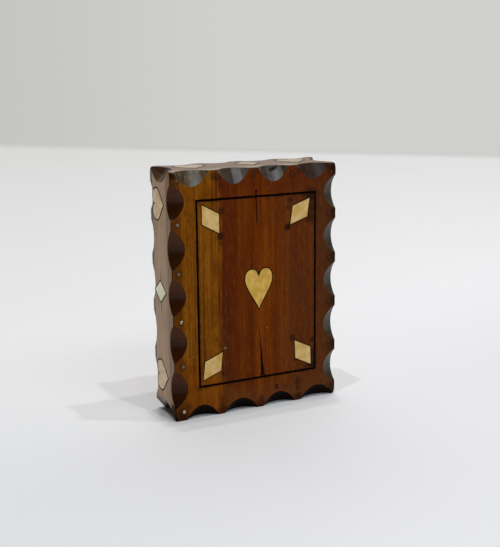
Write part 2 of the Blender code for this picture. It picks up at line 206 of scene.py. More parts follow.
# Distant lamps: direction seen from the box, and brightness
LAMPS = (
    ((0.305, -0.19, 0.933), 0.41),
    ((0.105, -0.40, 0.91), 0.41),
    ((-0.21, -0.10, 0.973), 0.47),
    ((0.035, 0.118, 0.99), 0.33),
    ((0.06, 0.04, 1.0), 0.36),
)
LAMP_ANGLE = math.radians(1.0)
LAMP_COLOUR = (1.0, 0.99, 0.98)

# The window light, in metres: its width and height, the way to it and how far, and what it faces
WINDOW_SIZE = (0.70, 0.30)
WINDOW_TOWARD = Vector((0.06, -0.70, 0.70)).normalized()
WINDOW_DISTANCE = 1.0
WINDOW_FACES = Vector((0, 0, 0.05))
WINDOW_COLOUR = (0.86, 0.98, 1.0)

# The light overhead, in metres: its width, and its height above the table
CEILING_SIZE = 1.2
CEILING_HEIGHT = 1.2

# Light of the room: high up and low down behind the box, and from everywhere else
ROOM_HIGH = (1.1, 1.1, 1.1)
ROOM_LOW = (0.62, 0.62, 0.61)
ROOM_ELSEWHERE = (0.008, 0.008, 0.008)

# The wall behind the table, at its left and at its right: brighter to the right as painted light
WALL = ((0.56, 0.56, 0.54), (0.63, 0.63, 0.61))

# Outlines of the table in metres: the first is mirrored in the varnish, the second isn't
TABLE = {
    "table": ((-1.5, 3.394), (-1.5, -1.5), (-0.034, -1.5), (-0.034, -0.0125), (1.497, -0.0125)),
    "table_front": ((-0.034, -0.0125), (-0.034, -1.5), (2.806, -1.5), (1.497, -0.0125)),
}

# Colours of the table at its left and right: by the box, behind it and far behind it; brighter to the right
# and further back as painted light
TABLE_COLOURS = (
    ((0.745, 0.745, 0.76), (0.81, 0.805, 0.835)),
    ((0.845, 0.845, 0.86), (0.93, 0.925, 0.945)),
    ((0.86, 0.865, 0.85), (0.95, 0.95, 0.94)),
)
TABLE_EDGE_COLOUR = (0.72, 0.72, 0.71)
TABLE_CLOUD_COLOUR = (0.80, 0.80, 0.81)

# The point on the table that its left and right fan out from, in millimetres
TABLE_FAN = (-167, -323)

# The table's far edge: its direction outwards, and how far out it lies, in millimetres
TABLE_EDGE_OUTWARD = (0.751, 0.661)
TABLE_EDGE = 1116


class Value:
    """A socket in a tree of nodes. Arithmetic on it adds Math nodes."""

    def __init__(self, tree, socket):
        self.tree = tree
        self.socket = socket

    def math(self, operation, *values):
        return self.tree.add("ShaderNodeMath", {"operation": operation}, values)

    def __add__(self, other):
        return self.math("ADD", self, other)

    def __mul__(self, other):
        return self.math("MULTIPLY", self, other)

    def __sub__(self, other):
        return self.math("SUBTRACT", self, other)

    def __rsub__(self, other):
        return self.math("SUBTRACT", other, self)

    def __truediv__(self, other):
        return self.math("DIVIDE", self, other)

    def __pow__(self, other):
        return self.math("POWER", self, other)

    def __abs__(self):
        return self.math("ABSOLUTE", self)

    __radd__ = __add__
    __rmul__ = __mul__

    def at_least(self, other):
        return self.math("MAXIMUM", self, other)

    def step(self, low, high):
        """0 at low and 1 at high, with a smooth run between; low may be the larger."""
        inputs = {"Value": self, "From Min": low, "From Max": high}
        return self.tree.add("ShaderNodeMapRange", {"interpolation_type": "SMOOTHSTEP"}, inputs)


class Tree:
    """The nodes of a material or of the room."""

    def __init__(self, tree):
        self.nodes = tree.nodes
        self.links = tree.links

    def add(self, kind, settings=None, inputs=(), output=0):
        """A node of this type, with its settings made first and then its sockets."""
        node = self.nodes.new(kind)
        for name, value in (settings or {}).items():
            if name == "stops":
                self.set_stops(node.color_ramp.elements, value)
            else:
                setattr(node, name, value)
        pairs = inputs.items() if isinstance(inputs, dict) else enumerate(inputs)
        for key, value in pairs:
            self.feed(node.inputs[key], value)
        return Value(self, node.outputs[output])

    def set_stops(self, elements, stops):
        while len(elements) < len(stops):
            elements.new(1)
        for element, (position, colour) in zip(elements, stops):
            element.position = position
            element.color = (*colour, 1)

    def feed(self, socket, value):
        if isinstance(value, Value):
            self.links.new(value.socket, socket)
        elif socket.type == "RGBA":
            socket.default_value = (*value, 1)
        else:
            socket.default_value = value

    def vector(self, operation, first, second, output=0):
        return self.add("ShaderNodeVectorMath", {"operation": operation}, (first, second), output)

    def scaled(self, place, factors):
        return self.vector("MULTIPLY", place, factors)

    def dot(self, first, second):
        return self.vector("DOT_PRODUCT", first, second, "Value")

    def axis(self, place, letter):
        return self.add("ShaderNodeSeparateXYZ", {}, (place,), letter)

    def noise(self, place, factors, detail=2.0, roughness=0.5, output="Fac"):
        """Noise whose size along each axis is one over its factor, in millimetres."""
        inputs = {"Scale": 1.0, "Detail": detail, "Roughness": roughness}
        inputs["Vector"] = self.scaled(place, factors)
        return self.add("ShaderNodeTexNoise", {}, inputs, output)

    def mix(self, share, under, over):
        return self.add("ShaderNodeMix", {"data_type": "RGBA"}, {0: share, 6: under, 7: over}, 2)

    def layered(self, colour, layers):
        """The colour under several others, each laid on with a share of its own."""
        for share, over in layers:
            colour = self.mix(share, colour, over)
        return colour

    def ramp(self, value, stops):
        return self.add("ShaderNodeValToRGB", {"stops": stops}, (value,))

    def shaken(self, place, size, reach):
        """The place, moved about by noise of this size, as far as reach."""
        drift = self.noise(place, (1 / size,) * 3, output="Color")
        centred = self.vector("SUBTRACT", drift, (0.5, 0.5, 0.5))
        return self.vector("ADD", place, self.scaled(centred, (2 * reach,) * 3))

    def spot(self, place, centre, radius):
        """1 at the centre and 0 from the radius on."""
        return self.vector("DISTANCE", place, centre, "Value").step(radius, radius * 0.25)


class Finish(Tree):
    """A material, and the place on the object in millimetres."""

    def __init__(self, name):
        self.material = bpy.data.materials.new(name)
        self.material.use_nodes = True
        super().__init__(self.material.node_tree)
        self.shader = self.nodes["Principled BSDF"]
        self.place = self.scaled(self.add("ShaderNodeTexCoord", output="Object"), (1 / MM,) * 3)

    def set(self, **values):
        """The shader's own sockets, with underscores for the spaces in their names."""
        for name, value in values.items():
            self.feed(self.shader.inputs[name.replace("_", " ")], value)

    def relief(self, height, strength, rounding=None):
        """Normals from a height in millimetres, over edges that look rounded by this radius."""
        inputs = {"Strength": strength, "Distance": MM, "Height": height}
        if rounding:
            inputs["Normal"] = self.add("ShaderNodeBevel", {"samples": 4}, {"Radius": rounding})
        return self.add("ShaderNodeBump", {}, inputs)


def stretched(along, length, across):
    """Factors for noise that is drawn out along one axis."""
    return tuple(length if axis == along else across for axis in range(3))


def wood_figure(finish, along):
    """Broad bands, fine streaks, pores and blotches of mahogany whose grain runs along an axis."""
    place = finish.place
    waved = finish.shaken(finish.scaled(place, stretched(along, 0.12, 1.0)), 9.0, 1.2)
    bands = finish.noise(waved, stretched(along, 0.10, 0.22), 3.0, 0.55)
    streaks = finish.noise(place, stretched(along, 0.035, 1.5), 4.0, 0.6)
    pores = finish.noise(place, stretched(along, 0.24, 2.6), 3.0, 0.6)
    blotches = finish.noise(place, (0.10, 0.10, 0.07), 3.0, 0.6)
    return bands, streaks, pores.step(0.60, 0.72), blotches


def off_face(finish, outward):
    """1 where the surface turns away from a flat face, as in the gouge cuts, and 0 on the face."""
    normal = finish.add("ShaderNodeNewGeometry", output="True Normal")
    return finish.dot(normal, tuple(outward)).step(0.995, 0.975)


def strongest(values):
    """The largest of several values at each point."""
    return functools.reduce(Value.at_least, values)


def dark_spots(finish, place, spots, flat=FRONT_FACE):
    """The strongest of several spots at each point, all at one depth in millimetres."""
    return strongest(
        finish.spot(place, (x, flat, z), radius) * strength for x, z, radius, strength in spots
    )


def front_place(node):
    """The x and z of a piece's middle, in millimetres."""
    low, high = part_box(node)
    return (low.x + high.x) / 2 / MM, (low.z + high.z) / 2 / MM


def front_figure(finish, look, figure, x, z):
    """Wood of the front's face: golden down the left, red-brown beside it, worn along its rims."""
    bands, streaks, pores, blotches = figure
    place = finish.place
    drift = finish.noise(place, (0.5, 0, 0.11), 4.0) * 4.4
    fringe = streaks * 9.0 - 4.5
    sap_edge = z.step(40, 22) * 1.6 - 17.2 + drift + fringe
    foot = z.step(15, 5)
    sap = ((x - sap_edge - foot * 3.5) / (foot * 2.6 + 1.0)).step(1.6, -1.6)
    heartwood = 1.0 - sap
    heart_stops = ((0.36, look.heart_dark), (0.49, look.heart_colour), (0.62, look.heart_light))
    sap_stops = ((0.37, look.sap_dark), (0.50, look.sap_colour), (0.64, look.sap_light))
    heart = finish.ramp(bands * 0.62 + streaks * 0.38, heart_stops)
    gold = finish.ramp(bands * 0.40 + streaks * 0.60, sap_stops)

    beside_sap = abs(x + 12.6).step(2.4, 0.6) * z.step(50, 38) * streaks.step(0.3, 0.6)
    right_side = x.step(4, 16) * 0.6 + x.step(22, 28) * 0.35
    ragged_x = x + streaks * 2.0
    ragged_z = z + streaks * 2.0
    fleck = finish.noise(place, (3.2, 3.2, 0.30), 3.0, 0.6)
    clouds = finish.noise(finish.shaken(place, 3.0, 1.0), (0.45, 0.45, 0.22), 3.0, 0.65)
    scorch = finish.noise(finish.shaken(place, 2.0, 0.8), (0.9, 0.9, 0.30), 4.0, 0.7)
    layers = (
        (sap * z.step(26, 8) * 0.55, look.heart_light),
        (heartwood * x.step(-4, -10) * 0.8, look.heart_red),
        (beside_sap * 0.805, look.strip_colour),
        (right_side, look.heart_grey),
        (heartwood * z.step(76, 84) * 0.5, look.heart_red),
        (blotches.step(0.50, 0.72) * 0.35, look.heart_dark),
        (pores * 0.75, look.pore_colour),
        (fleck.step(0.52, 0.72) * 0.40, look.fleck_colour),
        (clouds.step(0.48, 0.64) * 0.45, look.heart_colour),
        (clouds.step(0.46, 0.30) * 0.35, look.heart_grey),
        (ragged_x.step(-26.4, -30.4) * 0.65, look.rim_colour),
        (ragged_x.step(29.4, 33.6) * 0.75, look.strip_colour),
        (heartwood * z.step(12, 4) * 0.45, look.low_colour),
        (ragged_z.step(4.6, 1.4) * 0.7, look.heart_red),
        (scorch.step(0.58, 0.72) * 0.5, look.heart_dark),
    )
    return finish.layered(finish.mix(sap, heart, gold), layers)


def front_stains(finish, x, z):
    """Dark stains by the inlay, round the pins and beside the border line."""
    pins = [(*front_place(node), *PIN_STAIN) for node in NODES if node.startswith("pin_")]
    stains = dark_spots(finish, finish.shaken(finish.place, 1.4, 0.5), (*FRONT_STAINS, *pins))
    low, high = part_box("border_line")
    middle_x, middle_z = front_place("border_line")
    across = abs(x - middle_x) - (high.x - low.x) / 2 / MM
    upright = abs(z - middle_z) - (high.z - low.z) / 2 / MM
    wander = finish.noise(finish.place, (0.5, 0.5, 0.5), 4.0).step(0.35, 0.65)
    beside_line = abs(across.at_least(upright) + 0.3).step(wander * 0.60 + 0.45, 0.25)
    return stains.at_least(beside_line * (wander * 0.50 + 0.35))


def front_cuts(finish, look, x, z, tilt):
    """The gouge cuts' colour with painted reflections, how thick their varnish is, and the chatter marks of
    those on top.
    """
    place = finish.place
    corner = abs(x).step(29.5, 30.5) * z.step(86.5, 86.0)
    top_cut = z.step(83.0, 83.6) * abs(x).step(32.5, 31.5) * (1.0 - corner)
    left_cut = x.step(-26, -27) * z.step(86.5, 86.0)
    first = x.step(-18, -20)
    second_right = abs(x + 4.6).step(2.2, 1.0)
    third = abs(x - 7.4).step(2.8, 1.4)
    fourth = x.step(16, 18)
    chatter = finish.noise(finish.shaken(place, 2.0, 0.4), (1.3, 0.2, 0.16), 3.0, 0.65)
    mottle = finish.noise(finish.shaken(place, 2.5, 0.8), (0.42, 0.3, 0.36), 3.0, 0.6)
    # Streaks along the chatter marks, which the painted reflections in the top cuts follow
    reflection_streaks = chatter.step(0.30, 0.70) * (mottle.step(0.36, 0.60) * 0.75 + 0.25)
    layers = (
        (left_cut, look.cut_low),
        # Painted reflection: lighter red-brown on the upper halves of the cuts down the left, where they
        # face downwards
        (left_cut * tilt.step(0.05, -0.25), look.cut_upper_reflection),
        # Painted reflection of the window light: grey over the top cuts, paler in the first, bluish in the
        # second and third
        (top_cut * (reflection_streaks * 0.7 + 0.3) * (1.0 - fourth * 0.45), look.cut_grey_reflection),
        (top_cut * first * reflection_streaks * 0.9, look.cut_pale_highlight),
        (top_cut * (second_right.at_least(third) * (reflection_streaks * 0.5 + 0.3)), look.cut_blue_reflection),
        # Darker in the cuts along the bottom
        (z.step(9, 7) * 0.5, look.crack_colour),
        (x.step(25, 27) * z.step(84, 82) * 0.5, look.cut_green),
    )
    varnish = top_cut * (0.34 - fourth * 0.56) - left_cut * 0.11 + 0.38
    return finish.layered(look.cut_colour, layers), varnish, chatter * top_cut


def front_cracks(finish, x, z):
    """1 inside the cracks in the front's face."""
    wander = finish.noise(finish.place, (0, 0, 0.6), 3.0) - 0.5
    cracks = []
    for top_x, top_z, low_x, low_z, top_half, low_half in FRONT_CRACKS:
        down = (z - top_z) / (low_z - top_z)
        middle = down * (low_x - top_x) + top_x + wander * 0.7
        half = down ** 2.0 * (low_half - top_half) + top_half
        length = down.step(-0.01, 0.04) * down.step(1.02, 0.97)
        cracks.append((abs(x - middle) / half).step(1.3, 0.6) * length)
    return strongest(cracks)


def front_finish(look):
    """The front: its wood with stains, cracks and pale specks, and its dark, varnished cuts with painted
    reflections.
    """
    finish = Finish("front_wood")
    place = finish.place
    x = finish.axis(place, "X")
    z = finish.axis(place, "Z")
    normal = finish.add("ShaderNodeNewGeometry", output="True Normal")
    tilt = finish.axis(normal, "Z")
    figure = wood_figure(finish, 2)
    bands, streaks, pores, blotches = figure

    stains = front_stains(finish, x, z)
    cut = off_face(finish, -Y_AXIS)
    cut_colour, varnish, chatter = front_cuts(finish, look, x, z, tilt)
    edge = abs(finish.axis(normal, "X")).at_least(abs(tilt)).step(0.93, 0.97)
    # Nearly black, with little varnish, in the cuts along the bottom
    under = z.step(6.5, 5.2) * cut
    marks = dark_spots(finish, finish.scaled(place, (1, 0, 1)), CUT_MARKS, 0.0)
    groove = front_cracks(finish, x, z).at_least(marks * cut)
    layers = [
        (stains, look.stain_colour),
        (cut * 0.94, cut_colour),
        (edge * 0.9, finish.mix(streaks, look.side_dark, look.side_light)),
        (under * 0.9, look.crack_colour),
        (groove * 0.95, look.crack_colour),
    ]
    for speck_x, speck_z, radius in FRONT_SPECKS:
        speck = finish.spot(place, (speck_x, FRONT_FACE, speck_z), radius)
        layers.append((speck * 0.7, look.speck_colour))

    varnish = cut * (varnish + edge * 0.22) + 0.01
    height = streaks * 0.03 - pores * 0.02 - groove * 0.12 - stains * 0.03 + chatter * cut * 0.40
    finish.set(
        Base_Color=finish.layered(front_figure(finish, look, figure, x, z), layers),
        Roughness=blotches * 0.25 + 0.30,
        Coat_Weight=varnish * (1.0 - groove) * (1.0 - under * 0.9),
        Coat_Roughness=0.20,
        Coat_IOR=VARNISH_IOR,
        Specular_IOR_Level=0.02,
        Normal=finish.relief(height, 0.6, WOOD_ROUNDING),
    )
    return finish.material


def side_cracks(finish):
    """1 inside the short cracks that run from the tips of the left side's lozenge."""
    low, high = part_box("left_lozenge")
    y = finish.axis(finish.place, "Y")
    z = finish.axis(finish.place, "Z")
    wander = finish.noise(finish.place, (0, 0, 0.7), 3.0) * 0.8 - 0.4
    off_line = abs(y - (low.y + high.y) / 2 / MM + 0.6 - wander)
    cracks = []
    for tip, end in SIDE_CRACKS:
        along = (z - tip) / (end - tip)
        half = 0.50 - along * 0.38
        length = along.step(-0.05, 0.05) * along.step(1.0, 0.7)
        cracks.append((off_line / half).step(1.3, 0.6) * length)
    return strongest(cracks)


def board_finish(name, outward, along, look, painted_shade=0.0, coat=0.6, cracked=False):
    """Plainer red-brown mahogany for the sides, rails and lid, its grain along an axis, with a share of
    painted shade laid all over it.
    """
    finish = Finish(name)
    bands, streaks, pores, blotches = wood_figure(finish, along)
    stops = ((0.34, look.side_dark), (0.52, look.side_colour), (0.68, look.side_light))
    layers = [
        (blotches.step(0.52, 0.75) * 0.4, look.side_dark),
        # Painted shade: the dark side wood laid all over the board by this share
        (painted_shade, look.side_dark),
        (pores * 0.4, look.pore_colour),
        (off_face(finish, outward) * 0.85, look.cut_colour),
    ]
    if cracked:
        crack = side_cracks(finish)
        layers.append((crack * 0.75, look.stain_colour))
        coat = (1.0 - crack * 0.9) * coat
    finish.set(
        Base_Color=finish.layered(finish.ramp(bands * 0.55 + streaks * 0.5, stops), layers),
        Roughness=blotches * 0.2 + 0.35,
        Coat_Weight=coat,
        Coat_Roughness=0.22,
        Coat_IOR=VARNISH_IOR,
        Specular_IOR_Level=0.2,
        Normal=finish.relief(streaks * 0.035 - pores * 0.02, 0.6, WOOD_ROUNDING),
    )
    return finish.material


def bone_finish(name, colour, dark, along, coat=0.6, stained=None):
    """Polished bone: fine canals and bands along the piece, yellowed and stained in patches."""
    finish = Finish(name)
    place = finish.place
    canals = finish.noise(place, stretched(along, 0.5, 3.5), 3.0, 0.6)
    bands = finish.noise(place, stretched(along, 0.12, 1.6), 4.0, 0.65)
    patches = finish.noise(place, (0.35, 0.35, 0.35), 3.0, 0.55)
    scratches = finish.noise(finish.shaken(place, 5.0, 2.0), (6, 6, 0.5), 1.0)
    layers = [
        (patches.step(0.42, 0.62) * 0.75, dark),
        (bands.step(0.50, 0.66) * 0.45, dark),
        (canals.step(0.52, 0.72) * 0.55, dark),
    ]
    if stained is not None:
        stains = dark_spots(finish, finish.shaken(place, 1.5, 0.7), BONE_STAINS)
        layers.append((stains, stained))
    finish.set(
        Base_Color=finish.layered(colour, layers),
        Roughness=patches * 0.3 + 0.25,
        Coat_Weight=coat,
        Coat_Roughness=0.2,
        Specular_IOR_Level=0.4,
        Subsurface_Weight=0.15,
        Subsurface_Scale=0.0006,
        Normal=finish.relief(canals * 0.03 + scratches * 0.02, 0.5, 0.00015),
    )
    return finish.material


def mastic_finish(look):
    """Dark mastic round the inlay: matt, crumbly, nearly black."""
    finish = Finish("mastic")
    grain = finish.noise(finish.place, (3, 3, 3), 4.0, 0.7)
    finish.set(
        Base_Color=finish.mix(grain.step(0.45, 0.8) * 0.6, look.mastic_colour, look.stain_colour),
        Roughness=grain * 0.3 + 0.5,
        Specular_IOR_Level=0.0,
        Normal=finish.relief(grain * 0.08, 0.8),
    )
    return finish.material


def line_finish(look):
    """The inlaid line: dark wood, worn paler in places."""
    finish = Finish("border_line_wood")
    wear = finish.noise(finish.place, (0.5, 0.5, 0.5), 4.0, 0.6)
    fibres = finish.noise(finish.place, (4, 4, 4), 2.0)
    finish.set(
        Base_Color=finish.mix(wear.step(0.55, 0.85) * 0.5, look.line_colour, look.stain_colour),
        Roughness=wear * 0.3 + 0.3,
        Specular_IOR_Level=0.0,
        Normal=finish.relief(fibres * 0.05, 0.6, 0.0001),
    )
    return finish.material


def brass_finish(look):
    """Brass pin heads: some rubbed bright on top, the rest dark under old varnish."""
    finish = Finish("old_brass")
    normal = finish.add("ShaderNodeNewGeometry", output="Normal")
    front = finish.dot(normal, tuple(-Y_AXIS))
    grime = finish.noise(finish.place, (2.5, 2.5, 2.5), 3.0, 0.6)
    places = [(*front_place(node), PIN_REACH, share) for node, share in PIN_SHINE.items()]
    shine = dark_spots(finish, finish.place, places, CAD_LOW.y / MM)
    rubbed = (front + grime * 0.6 - 0.3).step(0.45, 0.95) * shine
    finish.set(
        Base_Color=finish.mix(rubbed, look.grime_colour, look.brass_colour),
        Metallic=rubbed,
        Roughness=0.6 - rubbed * 0.10,
        Specular_IOR_Level=0.12,
        Normal=finish.relief(grime * 0.06, 0.6),
    )
    return finish.material


def soft_shading(obj, angle):
    """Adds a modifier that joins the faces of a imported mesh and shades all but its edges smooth."""
    name = "Shade by angle"
    group = bpy.data.node_groups.get(name)
    if group is None:
        group = bpy.data.node_groups.new(name, "GeometryNodeTree")
        group.interface.new_socket("Geometry", in_out="INPUT", socket_type="NodeSocketGeometry")
        group.interface.new_socket("Angle", in_out="INPUT", socket_type="NodeSocketFloat")
        group.interface.new_socket("Geometry", in_out="OUTPUT", socket_type="NodeSocketGeometry")
        given = group.nodes.new("NodeGroupInput")
        result = group.nodes.new("NodeGroupOutput")
        weld = group.nodes.new("GeometryNodeMergeByDistance")
        weld.inputs["Distance"].default_value = MERGE
        painted_shade = group.nodes.new("GeometryNodeSetMeshNormal")
        painted_shade.mode = "SHARPNESS"
        painted_shade.inputs["Remove Custom"].default_value = True
        edge = group.nodes.new("GeometryNodeInputMeshEdgeAngle")
        sharp = group.nodes.new("FunctionNodeCompare")
        sharp.operation = "GREATER_THAN"
        link = group.links.new
        link(given.outputs["Geometry"], weld.inputs["Geometry"])
        link(weld.outputs["Geometry"], painted_shade.inputs["Mesh"])
        link(edge.outputs["Unsigned Angle"], sharp.inputs[0])
        link(given.outputs["Angle"], sharp.inputs[1])
        link(sharp.outputs["Result"], painted_shade.inputs["Edge Sharpness"])
        link(painted_shade.outputs["Mesh"], result.inputs["Geometry"])
    modifier = obj.modifiers.new(name, "NODES")
    modifier.node_group = group
    modifier[group.interface.items_tree["Angle"].identifier] = angle


def dress(node, material, angle=EDGE_ANGLE):
    """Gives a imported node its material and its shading."""
    obj = NODES[node]
    obj.data.materials.clear()
    obj.data.materials.append(material)
    soft_shading(obj, angle)


def outline_of(node, outward):
    """The corners of a flat piece's outer face, in order, and the direction that it faces."""
    shape = bmesh.new()
    shape.from_mesh(NODES[node].data)
    bmesh.ops.remove_doubles(shape, verts=shape.verts, dist=MERGE)
    bmesh.ops.dissolve_limit(shape, angle_limit=0.01, verts=shape.verts, edges=shape.edges)
    shape.normal_update()
    faces = [face for face in shape.faces if face.normal.dot(outward) > 0.99]
    if not faces:
        raise RuntimeError(f"{node} has no flat outer face")
    face = max(faces, key=lambda found: found.calc_area())
    corners = [vert.co.copy() for vert in face.verts]
    facing = face.normal.copy()
    shape.free()
    return corners, facing


def grown(corners, outward, reach):
    """An outline moved outwards all round, mitred at its corners."""
    moved = []
    for index, corner in enumerate(corners):
        before = (corner - corners[index - 1]).normalized()
        after = (corners[(index + 1) % len(corners)] - corner).normalized()
        first = before.cross(outward)
        second = after.cross(outward)
        mitre = (first + second).normalized()
        moved.append(corner + mitre * reach / max(mitre.dot(first), 0.5))
    return moved


def slab(name, corners, outward, top, depth, material):
    """A thin solid under an outline, its top sunk by so much."""
    shape = bmesh.new()
    upper = [shape.verts.new(corner - outward * top) for corner in corners]
    lower = [shape.verts.new(corner - outward * (top + depth)) for corner in corners]
    shape.faces.new(upper)
    shape.faces.new(reversed(lower))
    for index in range(len(corners)):
        after = (index + 1) % len(corners)
        shape.faces.new((upper[after], upper[index], lower[index], lower[after]))
    bmesh.ops.recalc_face_normals(shape, faces=shape.faces)
    mesh = bpy.data.meshes.new(name)
    shape.to_mesh(mesh)
    shape.free()
    mesh.materials.append(material)
    obj = bpy.data.objects.new(name, mesh)
    bpy.context.scene.collection.objects.link(obj)
    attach(obj, "root")
    return obj


def colour_of(name, value, description):
    return bpy.props.FloatVectorProperty(
        name=name, description=description, subtype="COLOR", size=3, min=0, max=1, default=value
    )


def angle_of(name, degrees, description):
    return bpy.props.FloatProperty(
        name=name, description=description, subtype="ANGLE", default=math.radians(degrees)
    )


class SnuffBoxWood(bpy.types.PropertyGroup):
    sap_colour: colour_of("Sapwood", (0.25, 0.080, 0.0030), "Golden wood down the left of the front")
    sap_light: colour_of("Light sapwood", (0.36, 0.130, 0.006), "Palest streaks of the golden wood")
    sap_dark: colour_of("Dark sapwood", (0.12, 0.034, 0.002), "Darkest streaks of the golden wood")
    heart_colour: colour_of("Heartwood", (0.165, 0.031, 0.0018), "Red-brown wood of the front")
    heart_light: colour_of("Light heartwood", (0.25, 0.058, 0.003), "Palest streaks of the red-brown wood")
    heart_red: colour_of("Red heartwood", (0.108, 0.0165, 0.003), "Red wood by the sapwood and at the top")
    heart_grey: colour_of("Grey heartwood", (0.098, 0.030, 0.010), "Greyer wood down the right of the front")
    heart_dark: colour_of("Dark heartwood", (0.088, 0.015, 0.002), "Darkest streaks of the red-brown wood")
    # Paler than the front's wood, partly as painted light that stands in for the bright varnish reflection
    # along the left side
    side_colour: colour_of("Side", (0.37, 0.17, 0.036), "Wood of the sides, rails and lid")
    side_light: colour_of("Light side", (0.48, 0.24, 0.060), "Palest streaks of the sides")
    # Also laid all over the top rail as painted shade
    side_dark: colour_of("Dark side", (0.15, 0.06, 0.014), "Darkest streaks of the sides")
    cut_colour: colour_of("Gouge cuts", (0.018, 0.0052, 0.0012), "Dark end grain in the gouge cuts")
    # Painted reflection, laid on the upper halves of the cuts down the left
    cut_upper_reflection: colour_of("Red cuts", (0.062, 0.0140, 0.0008), "Upper halves of the cuts down the left")
    # Painted reflections of the window light in the cuts along the top: grey in all, paler in the first,
    # bluish in two
    cut_grey_reflection: colour_of("Grey cuts", (0.078, 0.067, 0.052), "Rubbed, greyed wood in the cuts along the top")
    cut_pale_highlight: colour_of("Pale cut", (0.145, 0.112, 0.060), "Paler wood in the first cut of the top")
    cut_blue_reflection: colour_of("Bluish cuts", (0.115, 0.118, 0.116), "Bluish grey in two cuts of the top")
    cut_green: colour_of("Right cuts", (0.046, 0.040, 0.014), "Greenish wood in the cuts down the right")
    cut_low: colour_of("Low cuts", (0.027, 0.0062, 0.0008), "Lower halves of the cuts down the left")
    rim_colour: colour_of("Rim", (0.100, 0.029, 0.003), "Worn, handled wood along the left edge")
    strip_colour: colour_of("Grey streak", (0.055, 0.021, 0.009), "Grey-brown streak and right edge")
    low_colour: colour_of("Low wood", (0.165, 0.060, 0.018), "Greyer wood along the bottom")
    fleck_colour: colour_of("Flecks", (0.36, 0.11, 0.010), "Pale flecks between the pores")
    pore_colour: colour_of("Pores", (0.045, 0.012, 0.002), "Dark pores of the wood")
    stain_colour: colour_of("Stains", (0.018, 0.009, 0.006), "Old dark stains by the inlay and pins")
    crack_colour: colour_of("Cracks", (0.006, 0.003, 0.002), "Inside of the cracks")
    speck_colour: colour_of("Specks", (0.45, 0.30, 0.16), "Pale specks on the varnish")


class SnuffBoxInlay(bpy.types.PropertyGroup):
    heart_bone: colour_of("Heart", (0.93, 0.60, 0.12), "Yellowed bone of the front's heart")
    heart_bone_dark: colour_of("Dark heart", (0.74, 0.40, 0.045), "Stained patches of the front's heart")
    front_bone: colour_of("Front lozenges", (0.91, 0.63, 0.245), "Paler bone of the front's lozenges")
    front_bone_dark: colour_of("Dark front lozenges", (0.78, 0.47, 0.12), "Stained patches of the lozenges")
    yellow_stain: colour_of("Yellow stains", (0.70, 0.38, 0.030), "Varnish soaked into the front's bone")
    top_bone: colour_of("Top pieces", (0.40, 0.29, 0.155), "Darker bone of the top")
    top_bone_dark: colour_of("Dark top pieces", (0.31, 0.22, 0.11), "Stained patches of the top's bone")
    side_bone: colour_of("Side hearts", (0.88, 0.58, 0.25), "Bone hearts of the sides")
    side_bone_dark: colour_of("Dark side hearts", (0.62, 0.40, 0.15), "Stained patches of the hearts")
    pale_bone: colour_of("Side lozenges", (1.0, 0.95, 0.64), "Palest bone, of the side lozenges")
    pale_bone_dark: colour_of("Dark side lozenges", (0.95, 0.82, 0.50), "Stained patches of these lozenges")
    mastic_colour: colour_of("Mastic", (0.005, 0.003, 0.002), "Dark mastic round the bone")
    stain_colour: colour_of("Stain", (0.035, 0.016, 0.008), "Brown where mastic and line are worn")
    line_colour: colour_of("Line", (0.004, 0.002, 0.0015), "Black border line")
    mastic_reach: bpy.props.FloatProperty(
        name="Mastic width",
        description="How far mastic shows round the bone of the front",
        default=0.00036,
        unit="LENGTH",
    )
    mastic_sink: bpy.props.FloatProperty(
        name="Mastic sink",
        description="How far the mastic lies below the bone",
        default=0.00003,
        unit="LENGTH",
    )


class SnuffBoxPins(bpy.types.PropertyGroup):
    brass_colour: colour_of("Brass", (0.95, 0.80, 0.52), "Rubbed brass of the pin heads")
    grime_colour: colour_of("Grime", (0.085, 0.027, 0.005), "Dark rim of the pin heads")


class SnuffBoxStage(bpy.types.PropertyGroup):
    camera_place: bpy.props.FloatVectorProperty(
        name="Camera",
        description="Place of the camera",
        default=(-0.1666, -0.3227, 0.1239),
        subtype="TRANSLATION",
    )
    yaw: angle_of("Yaw", 27.55, "Turn of the camera towards +X")
    pitch: angle_of("Pitch", 11.63, "How far the camera looks down")
    roll: angle_of("Roll", -0.62, "Lean of the camera")
    lens: bpy.props.FloatProperty(
        name="Lens", description="Focal length in millimetres", default=65.94, min=10, max=300
    )
    window_power: bpy.props.FloatProperty(
        name="Window", description="Brightness of the large window light", default=3.2, min=0
    )
    ceiling_power: bpy.props.FloatProperty(
        name="Ceiling", description="Brightness of the broad light overhead", default=0.45, min=0
    )
    lamp_power: bpy.props.FloatProperty(
        name="Lamps", description="Brightness of the distant lamps, as a share", default=1.0, min=0
    )


def camera_axes(stage):
    """The camera's right, up and forward directions."""
    forward = Vector(
        (
            math.sin(stage.yaw) * math.cos(stage.pitch),
            math.cos(stage.yaw) * math.cos(stage.pitch),
            -math.sin(stage.pitch),
        )
    )
    right = Vector((math.cos(stage.yaw), -math.sin(stage.yaw), 0))
    up = right.cross(forward)
    lean = math.cos(stage.roll)
    side = math.sin(stage.roll)
    return right * lean + up * side, up * lean - right * side, forward


